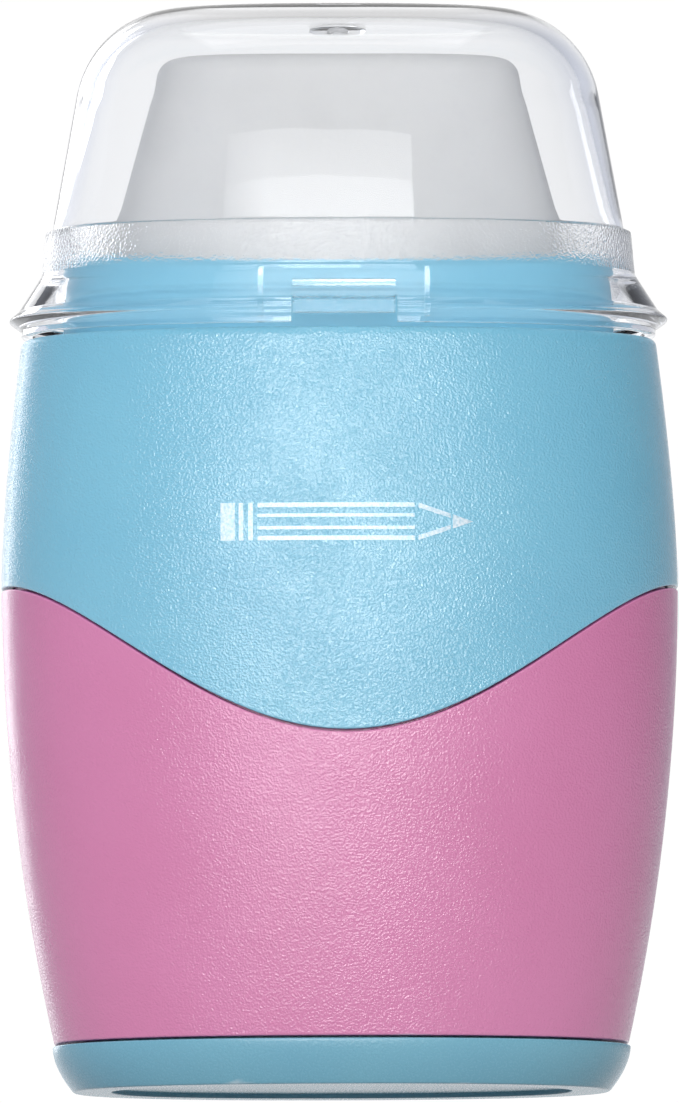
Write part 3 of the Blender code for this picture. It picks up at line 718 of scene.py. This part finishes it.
def sharpener_body(look):
    """Sharpener block: a collar, a sloped front, two bores, two screw holes and grip grooves on its ends."""
    side_view = [
        (-BLOCK_HALF_DEPTH, 0),
        (BLOCK_HALF_DEPTH, 0),
        (BLOCK_HALF_DEPTH, BLOCK_HEIGHT),
        (face_y(BLOCK_HEIGHT), BLOCK_HEIGHT),
        (face_y(BLOCK_COLLAR), BLOCK_COLLAR),
        (-BLOCK_HALF_DEPTH, BLOCK_COLLAR),
    ]
    stand_up = Matrix(((0, 0, 1, 0), (1, 0, 0, 0), (0, 1, 0, BLOCK_FOOT_Z), (0, 0, 0, 1)))
    ends = (-BLOCK_HALF_WIDTH, BLOCK_HALF_WIDTH)
    block = extruded("sharpener_body_finish", side_view, *ends, [look], stand_up)
    soften(block, BLOCK_EDGE * 0.6, 60, 4)
    straight = LARGE_BORE_STRAIGHT + (LARGE_BORE_RADIUS - SMALL_BORE_RADIUS) / CONE_SLOPE
    combine(block, bore(LARGE_BORE_X, LARGE_BORE_RADIUS, LARGE_BORE_STRAIGHT))
    combine(block, bore(SMALL_BORE_X, SMALL_BORE_RADIUS, straight))
    radius = SCREW_SHANK_RADIUS + SCREW_HOLE_CLEARANCE
    for bore_x in (LARGE_BORE_X, SMALL_BORE_X):
        place = face_frame(bore_x + SCREW_OFFSET, SCREW_UP_SLOPE)
        profile = [(radius, -SCREW_SHANK - 0.5 * MM), (radius, 1 * MM)]
        combine(block, turned("screw_hole", profile, SCREW_SIDES, matrix=place))
    low = BLOCK_FOOT_Z + BLOCK_COLLAR + GRIP_GROOVE_MARGIN
    high = BLOCK_FOOT_Z + BLOCK_HEIGHT - GRIP_GROOVE_MARGIN
    for end in ends:
        for groove in range(GRIP_GROOVES):
            place = Matrix.Translation((end, BLOCK_HALF_DEPTH - (groove + 1.5) * GRIP_GROOVE_PITCH, 0))
            profile = [(GRIP_GROOVE, low), (GRIP_GROOVE, high)]
            combine(block, turned("groove", profile, GRIP_GROOVE_SIDES, matrix=place))
    finish_piece(block, "lower")
    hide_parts("sharpener_body")


def blade(name, bore_x, look):
    """A blade: a thin plate with one ground edge along the bore's middle, and a screw hole."""
    outline = [
        (0, 0),
        (BLADE_WIDTH, 0),
        (BLADE_WIDTH, BLADE_THICKNESS),
        (BLADE_GRIND, BLADE_THICKNESS),
        (0, BLADE_EDGE),
    ]
    along_slope = face_frame(bore_x, BLADE_FOOT) @ Matrix.Translation((0, 0, SEAT_GAP))
    swap = Matrix(((1, 0, 0, 0), (0, 0, 1, 0), (0, 1, 0, 0), (0, 0, 0, 1)))
    plate = extruded(name + "_finish", outline, 0, BLADE_LENGTH, [look], along_slope @ swap)
    radius = SCREW_SHANK_RADIUS + SCREW_HOLE_CLEARANCE
    place = face_frame(bore_x + SCREW_OFFSET, SCREW_UP_SLOPE)
    combine(plate, turned("hole", [(radius, -1 * MM), (radius, 2 * MM)], SCREW_SIDES, matrix=place))
    soften(plate, 0.05 * MM, 60, 1)
    finish_piece(plate, "lower")
    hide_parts(name)


def blade_screw(name, bore_x, look):
    """A slotted round-head screw through the blade into the block."""
    foot = SEAT_GAP * 2 + BLADE_THICKNESS
    profile = [
        (SCREW_SHANK_RADIUS * 0.6, -SCREW_SHANK),
        (SCREW_SHANK_RADIUS, -SCREW_SHANK + 0.6 * MM),
        (SCREW_SHANK_RADIUS, foot),
        (SCREW_HEAD_RADIUS, foot),
        (SCREW_HEAD_RADIUS, foot + SCREW_HEAD * 0.3),
    ]
    for step in range(1, SCREW_DOME_STEPS + 1):
        angle = math.pi / 2 * step / SCREW_DOME_STEPS
        radius = SCREW_HEAD_RADIUS * max(0.08, math.cos(angle))
        profile.append((radius, foot + SCREW_HEAD * (0.3 + 0.7 * math.sin(angle))))
    place = face_frame(bore_x + SCREW_OFFSET, SCREW_UP_SLOPE)
    screw = turned(name + "_finish", profile, SCREW_SIDES, [look], place)
    half = SCREW_SLOT / 2
    reach = SCREW_HEAD_RADIUS * 1.5
    outline = [(-half, -reach), (half, -reach), (half, reach), (-half, reach)]
    slot_turn = place @ Matrix.Rotation(SCREW_SLOT_TURN, 4, "Z")
    combine(screw, extruded("slot", outline, foot + SCREW_HEAD * 0.5, foot + 2 * MM, matrix=slot_turn))
    soften(screw, 0.04 * MM, 50, 1)
    finish_piece(screw, "lower")
    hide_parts(name)


# Printed mark


def front_point(x, z, proud):
    """The point of the upper shell's front face at an x and a height, standing proud by a little."""
    half_width = side_half_width(z)
    depth = (1 - abs(x / half_width) ** OVAL_POWER) ** (1 / OVAL_POWER)
    return Vector((x, -half_width * DEPTH_RATIO * depth - proud, z))


def pencil_shapes():
    """Outlines of the lines of a plain pencil drawing, as (x, z) points in half-heights of the mark."""
    def bar(left, right, low, high):
        return [(left, low), (right, low), (right, high), (left, high)]
    cone = [(3.85, 1), (3.85, 0.74), (5.55, 0.18), (5.55, 0.42)]
    return [
        bar(-6.6, -5.85, -1, 1),
        bar(-5.65, -5.4, -1, 1),
        bar(-5.15, -4.9, -1, 1),
        bar(-4.65, 3.65, 0.76, 1),
        bar(-4.65, 3.65, 0.24, 0.42),
        bar(-4.65, 3.65, -0.42, -0.24),
        bar(-4.65, 3.65, -1, -0.76),
        cone,
        [(x, -z) for x, z in reversed(cone)],
        [(5.67, -0.38), (6.75, 0), (5.67, 0.38)],
    ]


def printed_mark(look):
    """A plain pencil printed in silver ink, laid on the curved front of the upper shell."""
    mesh_edit = bmesh.new()
    for shape in pencil_shapes():
        points = [(x * MARK_HALF_HEIGHT, 0, z * MARK_HALF_HEIGHT) for x, z in shape]
        mesh_edit.faces.new([mesh_edit.verts.new(point) for point in points])
    for step in range(-MARK_CUTS_EACH_SIDE, MARK_CUTS_EACH_SIDE + 1):
        geometry = list(mesh_edit.verts) + list(mesh_edit.edges) + list(mesh_edit.faces)
        cut_at = ((step + 0.25) * MARK_CUT_EVERY, 0, 0)
        bmesh.ops.bisect_plane(mesh_edit, geom=geometry, plane_co=cut_at, plane_no=(1, 0, 0))
    for vertex in mesh_edit.verts:
        vertex.co = front_point(vertex.co.x, vertex.co.z + MARK_Z, MARK_THICKNESS)
    bmesh.ops.recalc_face_normals(mesh_edit, faces=mesh_edit.faces)
    for face in mesh_edit.faces:
        if face.normal.y > 0:
            face.normal_flip()
    geometry = list(mesh_edit.verts) + list(mesh_edit.edges) + list(mesh_edit.faces)
    bmesh.ops.solidify(mesh_edit, geom=geometry, thickness=MARK_THICKNESS * 1.5)
    mark = new_object("printed_pencil_mark", mesh_edit, [look])
    mark.data.shade_smooth()
    mark.data.set_sharp_from_angle(angle=math.radians(35))
    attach(mark, "upper")


# Materials


def surface(name, **values):
    """A Principled material with constant values on its sockets."""
    look = bpy.data.materials.new(name)
    look.use_nodes = True
    shader = look.node_tree.nodes["Principled BSDF"]
    for socket, value in values.items():
        shader.inputs[socket.replace("_", " ")].default_value = value
    return look, look.node_tree, shader


def pattern(tree, per_metre, detail=2.0, stretch=(1, 1, 1), kind="ShaderNodeTexNoise", output=0):
    """Noise or cells at a real size, taken from the piece's own coordinates."""
    place = tree.nodes.new("ShaderNodeTexCoord")
    mapping = tree.nodes.new("ShaderNodeMapping")
    mapping.inputs["Scale"].default_value = stretch
    tree.links.new(place.outputs["Object"], mapping.inputs["Vector"])
    texture = tree.nodes.new(kind)
    texture.inputs["Scale"].default_value = per_metre
    if "Detail" in texture.inputs:
        texture.inputs["Detail"].default_value = detail
    tree.links.new(mapping.outputs["Vector"], texture.inputs["Vector"])
    return texture.outputs[output]


def remap(tree, source, low, high, to_low, to_high):
    """Stretch a part of a value's range to a new range, clamped."""
    node = tree.nodes.new("ShaderNodeMapRange")
    for place, value in enumerate((low, high, to_low, to_high)):
        node.inputs[place + 1].default_value = value
    tree.links.new(source, node.inputs[0])
    return node.outputs[0]


def combine_values(tree, operation, first, second):
    """Multiply, add or otherwise combine two values."""
    node = tree.nodes.new("ShaderNodeMath")
    node.operation = operation
    for place, value in enumerate((first, second)):
        if isinstance(value, float):
            node.inputs[place].default_value = value
        else:
            tree.links.new(value, node.inputs[place])
    return node.outputs[0]


def mixed_colour(tree, share, first, second):
    """Mix two colours, each a colour socket or three linear numbers."""
    node = tree.nodes.new("ShaderNodeMix")
    node.data_type = "RGBA"
    tree.links.new(share, node.inputs[0])
    for place, value in ((6, first), (7, second)):
        if isinstance(value, tuple):
            node.inputs[place].default_value = (*value, 1.0)
        else:
            tree.links.new(value, node.inputs[place])
    return node.outputs[2]


def bumped(tree, shader, height, distance, under=None):
    """Feed a height through a bump node of a real depth into the shader."""
    node = tree.nodes.new("ShaderNodeBump")
    node.inputs["Distance"].default_value = distance
    tree.links.new(height, node.inputs["Height"])
    if under is not None:
        tree.links.new(under, node.inputs["Normal"])
    tree.links.new(node.outputs[0], shader.inputs["Normal"])
    return node.outputs[0]


def edge_share(tree, low, high):
    """How much a point is on an outer edge, from 0 to 1."""
    geometry = tree.nodes.new("ShaderNodeNewGeometry")
    return remap(tree, geometry.outputs["Pointiness"], low, high, 0.0, 1.0)


def moulded_plastic(name, colours, grain_depth, roughness, specular):
    """Satin plastic with the fine grain of its mould, faint clouding, specks and lighter edges, partly wear
    and partly painted highlight.

    The colours are the two that cloud into each other and that of the edges, lighter both for wear and as a
    painted highlight along them.
    """
    colour, other, worn = colours
    look, tree, shader = surface(name, Roughness=0.4, IOR=1.5, Specular_IOR_Level=specular)
    clouds = remap(tree, pattern(tree, 90, 3.0), 0.35, 0.65, 0.0, 1.0)
    body = mixed_colour(tree, clouds, colour, other)
    grain = pattern(tree, 6600, 1.0)
    patches = remap(tree, pattern(tree, 160, 2.0), 0.35, 0.6, 0.75, 1.0)
    height = combine_values(tree, "MULTIPLY", grain, patches)
    speck_distance = pattern(tree, 130, kind="ShaderNodeTexVoronoi")
    speck = remap(tree, speck_distance, 0.008, 0.014, 0.55, 0.0)
    body = mixed_colour(tree, speck, body, (0.12, 0.12, 0.16))
    # Lighter edges: partly rubbed wear, partly a painted highlight where the rounded edges would catch the
    # light.
    edge = edge_share(tree, 0.52, 0.62)
    edge = combine_values(tree, "MULTIPLY", edge, remap(tree, pattern(tree, 900, 3.0), 0.3, 0.6, 0.2, 0.8))
    body = mixed_colour(tree, edge, body, worn)
    tree.links.new(body, shader.inputs["Base Color"])
    satin = remap(tree, grain, 0.3, 0.7, roughness + 0.05, roughness - 0.03)
    tree.links.new(satin, shader.inputs["Roughness"])
    bumped(tree, shader, height, grain_depth)
    return look


def eraser_vinyl():
    """White eraser, in grey as painted shade under the cap: matte, faintly mottled and smudged, with a fine
    tooth.
    """
    look, tree, shader = surface("shaded_white_eraser_look", Roughness=0.72, IOR=1.45)
    smudge = remap(tree, pattern(tree, 140, 4.0), 0.45, 0.75, 0.0, 1.0)
    # Painted shade: both tones are a light grey, darker than the white eraser, for the dimmer light under the
    # cap.
    body = mixed_colour(tree, smudge, (0.59, 0.585, 0.575), (0.55, 0.545, 0.535))
    crumbs = remap(tree, pattern(tree, 2600, 3.0), 0.55, 0.7, 0.0, 0.35)
    body = mixed_colour(tree, crumbs, body, (0.54, 0.545, 0.55))
    tree.links.new(body, shader.inputs["Base Color"])
    tree.links.new(remap(tree, smudge, 0.0, 1.0, 0.66, 0.8), shader.inputs["Roughness"])
    bumped(tree, shader, pattern(tree, 2200, 3.0), 0.012 * MM)
    return look


def lit_through(tree, shader):
    """Let light pass through a clear plastic on its way to what is inside."""
    output = tree.nodes["Material Output"]
    path = tree.nodes.new("ShaderNodeLightPath")
    through = tree.nodes.new("ShaderNodeBsdfTransparent")
    through.inputs["Color"].default_value = (0.86, 0.87, 0.88, 1.0)
    mix = tree.nodes.new("ShaderNodeMixShader")
    tree.links.new(path.outputs["Is Shadow Ray"], mix.inputs[0])
    tree.links.new(shader.outputs[0], mix.inputs[1])
    tree.links.new(through.outputs[0], mix.inputs[2])
    tree.links.new(mix.outputs[0], output.inputs["Surface"])


def clear_plastic():
    """Clear polished plastic, with the faint waviness of a moulding and a few scratches."""
    look, tree, shader = surface(
        "clear_plastic_look",
        Base_Color=(0.975, 0.98, 0.99, 1.0),
        Roughness=0.03,
        IOR=1.49,
        Transmission_Weight=1.0,
    )
    waves = pattern(tree, 160, 1.0)
    first = bumped(tree, shader, waves, 0.02 * MM)
    scratches = pattern(tree, 260, 1.0, (1.0, 1.0, 0.25), "ShaderNodeTexVoronoi")
    lines = remap(tree, scratches, 0.0, 0.02, 1.0, 0.0)
    bumped(tree, shader, lines, 0.01 * MM, first)
    lit_through(tree, shader)
    return look


def frosted_plastic():
    """The cap's frosted band and thumb pad: the same plastic with a coarse sparkling texture."""
    look, tree, shader = surface(
        "frosted_plastic_look",
        Base_Color=(0.97, 0.975, 0.985, 1.0),
        Roughness=0.13,
        IOR=1.49,
        Transmission_Weight=1.0,
    )
    bumped(tree, shader, pattern(tree, 5800, 1.0), 0.085 * MM)
    lit_through(tree, shader)
    return look


def cast_alloy():
    """Cast light alloy: dull, mottled and slightly pitted, brighter where edges have rubbed."""
    look, tree, shader = surface("sharpener_alloy_look", Metallic=1.0, Roughness=0.45)
    mottle = pattern(tree, 420, 4.0)
    share = remap(tree, mottle, 0.35, 0.65, 0.0, 1.0)
    body = mixed_colour(tree, share, (0.60, 0.61, 0.63), (0.70, 0.71, 0.72))
    body = mixed_colour(tree, edge_share(tree, 0.52, 0.6), body, (0.84, 0.85, 0.86))
    tree.links.new(body, shader.inputs["Base Color"])
    tree.links.new(remap(tree, mottle, 0.3, 0.7, 0.38, 0.55), shader.inputs["Roughness"])
    bumped(tree, shader, pattern(tree, 2400, 3.0), 0.015 * MM)
    return look


def ground_steel():
    """Ground steel with fine lines along the blade and slight tarnish."""
    look, tree, shader = surface("blade_steel_look", Metallic=1.0, Roughness=0.3, Anisotropic=0.3)
    lines = pattern(tree, 9000, 2.0, (1.0, 0.03, 0.03))
    stain = remap(tree, pattern(tree, 300, 4.0), 0.5, 0.75, 0.0, 0.6)
    body = mixed_colour(tree, remap(tree, lines, 0.3, 0.7, 0.0, 1.0), (0.50, 0.51, 0.53), (0.68, 0.69, 0.71))
    body = mixed_colour(tree, stain, body, (0.44, 0.42, 0.38))
    tree.links.new(body, shader.inputs["Base Color"])
    tree.links.new(remap(tree, lines, 0.3, 0.7, 0.2, 0.36), shader.inputs["Roughness"])
    bumped(tree, shader, lines, 0.0015 * MM)
    return look


def silver_ink():
    """Printed silver: flakes in a thin ink, worn to the blue here and there."""
    look, tree, shader = surface("silver_ink_look", Metallic=0.35, Roughness=0.4)
    flakes = pattern(tree, 5200, 2.0)
    share = remap(tree, flakes, 0.35, 0.65, 0.0, 1.0)
    body = mixed_colour(tree, share, (0.36, 0.55, 0.64), (0.68, 0.75, 0.79))
    tree.links.new(body, shader.inputs["Base Color"])
    tree.links.new(remap(tree, flakes, 0.3, 0.7, 0.3, 0.5), shader.inputs["Roughness"])
    bumped(tree, shader, flakes, 0.012 * MM)
    return look


# Studio


def light_table():
    """A pale floor that glows softly from its top side, as on a light table. Its back faces are clear.

    It glows more in reflections, and hardly lights what stands on it.
    """
    mesh_edit = bmesh.new()
    bmesh.ops.create_grid(mesh_edit, x_segments=2, y_segments=2, size=3.0)
    floor = new_object("studio_floor", mesh_edit)
    floor.location.z = -0.1 * MM
    look = bpy.data.materials.new("studio_floor_look")
    look.use_nodes = True
    tree = look.node_tree
    tree.nodes.clear()
    output = tree.nodes.new("ShaderNodeOutputMaterial")
    diffuse = tree.nodes.new("ShaderNodeBsdfDiffuse")
    diffuse.inputs["Color"].default_value = (0.42, 0.42, 0.43, 1.0)
    glow = tree.nodes.new("ShaderNodeEmission")
    glow.inputs["Color"].default_value = (0.97, 0.98, 1.0, 1.0)
    path = tree.nodes.new("ShaderNodeLightPath")
    strength = remap(tree, path.outputs["Is Diffuse Ray"], 0.0, 1.0, 1.1, 0.05)
    glossy = path.outputs["Is Glossy Ray"]
    reflected = combine_values(tree, "SUBTRACT", glossy, path.outputs["Is Transmission Ray"])
    strength = combine_values(tree, "MAXIMUM", strength, combine_values(tree, "MULTIPLY", reflected, 1.9))
    tree.links.new(strength, glow.inputs["Strength"])
    lit = tree.nodes.new("ShaderNodeMixShader")
    lit.inputs[0].default_value = 0.6
    tree.links.new(diffuse.outputs[0], lit.inputs[1])
    tree.links.new(glow.outputs[0], lit.inputs[2])
    clear = tree.nodes.new("ShaderNodeBsdfTransparent")
    geometry = tree.nodes.new("ShaderNodeNewGeometry")
    sided = tree.nodes.new("ShaderNodeMixShader")
    tree.links.new(geometry.outputs["Backfacing"], sided.inputs[0])
    tree.links.new(lit.outputs[0], sided.inputs[1])
    tree.links.new(clear.outputs[0], sided.inputs[2])
    tree.links.new(sided.outputs[0], output.inputs["Surface"])
    floor.data.materials.append(look)


def soft_world():
    """White to look at. As a light it is soft grey, brighter on the left and behind than on the right.

    Its sides are slightly blue, and through clear plastic it is never dim except from high up.
    """
    world = bpy.data.worlds.new("studio")
    world.use_nodes = True
    bpy.context.scene.world = world
    tree = world.node_tree
    background = tree.nodes["Background"]
    path = tree.nodes.new("ShaderNodeLightPath")
    place = tree.nodes.new("ShaderNodeTexCoord")
    parts = tree.nodes.new("ShaderNodeSeparateXYZ")
    tree.links.new(place.outputs["Generated"], parts.inputs[0])
    to_side = combine_values(tree, "ABSOLUTE", parts.outputs[0], 0.0)
    tint = remap(tree, to_side, 0.1, 0.5, 0.0, 1.0)
    tree.links.new(mixed_colour(tree, tint, (1.0, 1.0, 1.0), (0.85, 0.89, 1.0)), background.inputs["Color"])
    fill = remap(tree, parts.outputs[0], -0.9, 0.9, 0.62, 0.24)
    fill = combine_values(tree, "ADD", fill, remap(tree, parts.outputs[1], -0.9, -0.2, 0.36, 0.0))
    backdrop = remap(tree, parts.outputs[0], 0.05, 0.7, 1.0, 0.55)
    behind = remap(tree, parts.outputs[1], 0.0, 0.6, 0.0, 1.0)
    backdrop = combine_values(tree, "MULTIPLY", backdrop, behind)
    sharp = combine_values(tree, "SUBTRACT", 1.0, path.outputs["Is Diffuse Ray"])
    backdrop = combine_values(tree, "MULTIPLY", backdrop, sharp)
    lit = combine_values(tree, "MAXIMUM", fill, backdrop)
    through = combine_values(tree, "MULTIPLY", path.outputs["Is Transmission Ray"], 0.75)
    lit = combine_values(tree, "MAXIMUM", lit, through)
    overhead = remap(tree, parts.outputs[2], 0.3, 0.8, 1.0, 0.72)
    opaque = combine_values(tree, "SUBTRACT", 1.0, path.outputs["Is Transmission Ray"])
    overhead = combine_values(tree, "MAXIMUM", overhead, opaque)
    lit = combine_values(tree, "MULTIPLY", lit, overhead)
    strength = tree.nodes.new("ShaderNodeMix")
    tree.links.new(path.outputs["Is Camera Ray"], strength.inputs[0])
    tree.links.new(lit, strength.inputs[2])
    strength.inputs[3].default_value = 1.02
    tree.links.new(strength.outputs[0], background.inputs["Strength"])


def softbox(name, azimuth, elevation, distance, size, radiance, far=1.0, feather=0.0):
    """An area light that faces the object and isn't seen itself.

    Its upper end is dimmed to a share of its strength, and its left edge fades in over a share of its width.
    """
    light = bpy.data.lights.new(name, "AREA")
    light.shape = "RECTANGLE"
    light.size = size[0]
    light.size_y = size[1]
    light.energy = radiance * math.pi * size[0] * size[1]
    light.use_nodes = True
    tree = light.node_tree
    geometry = tree.nodes.new("ShaderNodeNewGeometry")
    parts = tree.nodes.new("ShaderNodeSeparateXYZ")
    tree.links.new(geometry.outputs["Parametric"], parts.inputs[0])
    strength = remap(tree, parts.outputs[1], 0.0, 1.0, 1.0, far)
    edge = remap(tree, parts.outputs[0], 0.0, max(feather, 0.001), 0.2, 1.0)
    strength = combine_values(tree, "MULTIPLY", strength, edge)
    tree.links.new(strength, tree.nodes["Emission"].inputs["Strength"])
    lamp = bpy.data.objects.new(name, light)
    bpy.context.scene.collection.objects.link(lamp)
    away = from_centre(math.radians(azimuth), math.radians(elevation))
    lamp.location = CAMERA_TARGET + away * distance
    lamp.rotation_euler = away.to_track_quat("Z", "Y").to_euler()
    lamp.visible_camera = False
    return lamp


def from_centre(azimuth, elevation):
    """Unit direction from the object; azimuth 0 is the front and goes round towards +X."""
    flat = math.cos(elevation)
    return Vector((math.sin(azimuth) * flat, -math.cos(azimuth) * flat, math.sin(elevation)))


def photo_camera():
    """The camera at the photo's viewpoint, a long way off and a little below the base."""
    lens = bpy.data.cameras.new("photo_camera")
    lens.lens = CAMERA_LENS
    lens.sensor_width = 36.0
    lens.clip_end = 20.0
    camera = bpy.data.objects.new("photo_camera", lens)
    bpy.context.scene.collection.objects.link(camera)
    away = from_centre(CAMERA_AZIMUTH, CAMERA_ELEVATION)
    camera.location = CAMERA_TARGET + away * CAMERA_DISTANCE
    turn = away.to_track_quat("Z", "Y").to_matrix().to_4x4() @ Matrix.Rotation(CAMERA_ROLL, 4, "Z")
    camera.rotation_euler = turn.to_euler()
    bpy.context.scene.camera = camera


def studio():
    """Floor, world, lights and camera."""
    light_table()
    soft_world()
    softbox("front_softbox", -4.4, 10, 1.0, (0.64, 0.61), 6.3, far=0.3, feather=0.3)
    softbox("core_softbox", -2.4, 6, 0.97, (0.2, 0.24), 6.0)
    softbox("rim_softbox", -155, 5, 0.9, (0.3, 1.0), 2.5)
    softbox("top_softbox", 0, 84, 1.0, (0.8, 0.6), 0.9)
    photo_camera()
    bpy.context.scene.view_settings.view_transform = "Standard"


def build():
    """Make every piece and put it on its body."""
    # The third colour of each is that of the lighter edges: partly wear, partly painted highlight.
    blues = ((0.20, 0.58, 0.78), (0.22, 0.61, 0.80), (0.5, 0.75, 0.85))
    # Painted shade: a darker copy of the housing's blue for the neck and tray under the cap.
    shaded_neck_blues = ((0.19, 0.48, 0.63), (0.21, 0.50, 0.65), (0.45, 0.68, 0.78))
    # Painted shade: a darker copy of the housing's blue for the base lid, which gets little light from below.
    shaded_base_blues = ((0.19, 0.48, 0.62), (0.21, 0.51, 0.64), (0.6, 0.78, 0.86))
    pinks = ((0.76, 0.225, 0.45), (0.79, 0.245, 0.48), (0.8, 0.5, 0.66))
    blue = moulded_plastic("blue_plastic_look", blues, 0.07 * MM, 0.13, 1.0)
    shaded_smooth_blue = moulded_plastic("shaded_smooth_blue_look", shaded_neck_blues, 0.006 * MM, 0.35, 0.2)
    shaded_base_blue = moulded_plastic("shaded_base_blue_look", shaded_base_blues, 0.02 * MM, 0.25, 0.5)
    pink = moulded_plastic("pink_plastic_look", pinks, 0.05 * MM, 0.2, 0.8)
    alloy = cast_alloy()
    steel = ground_steel()
    base_lid(shaded_base_blue)
    lower_shell(pink)
    sharpener_body(alloy)
    for size, bore_x in (("large", LARGE_BORE_X), ("small", SMALL_BORE_X)):
        blade("blade_" + size, bore_x, steel)
        blade_screw("screw_" + size, bore_x, steel)
    upper_shell(blue, shaded_smooth_blue)
    eraser_tray(shaded_smooth_blue)
    eraser(eraser_vinyl())
    printed_mark(silver_ink())
    clear_cap(clear_plastic(), frosted_plastic())


build()
studio()
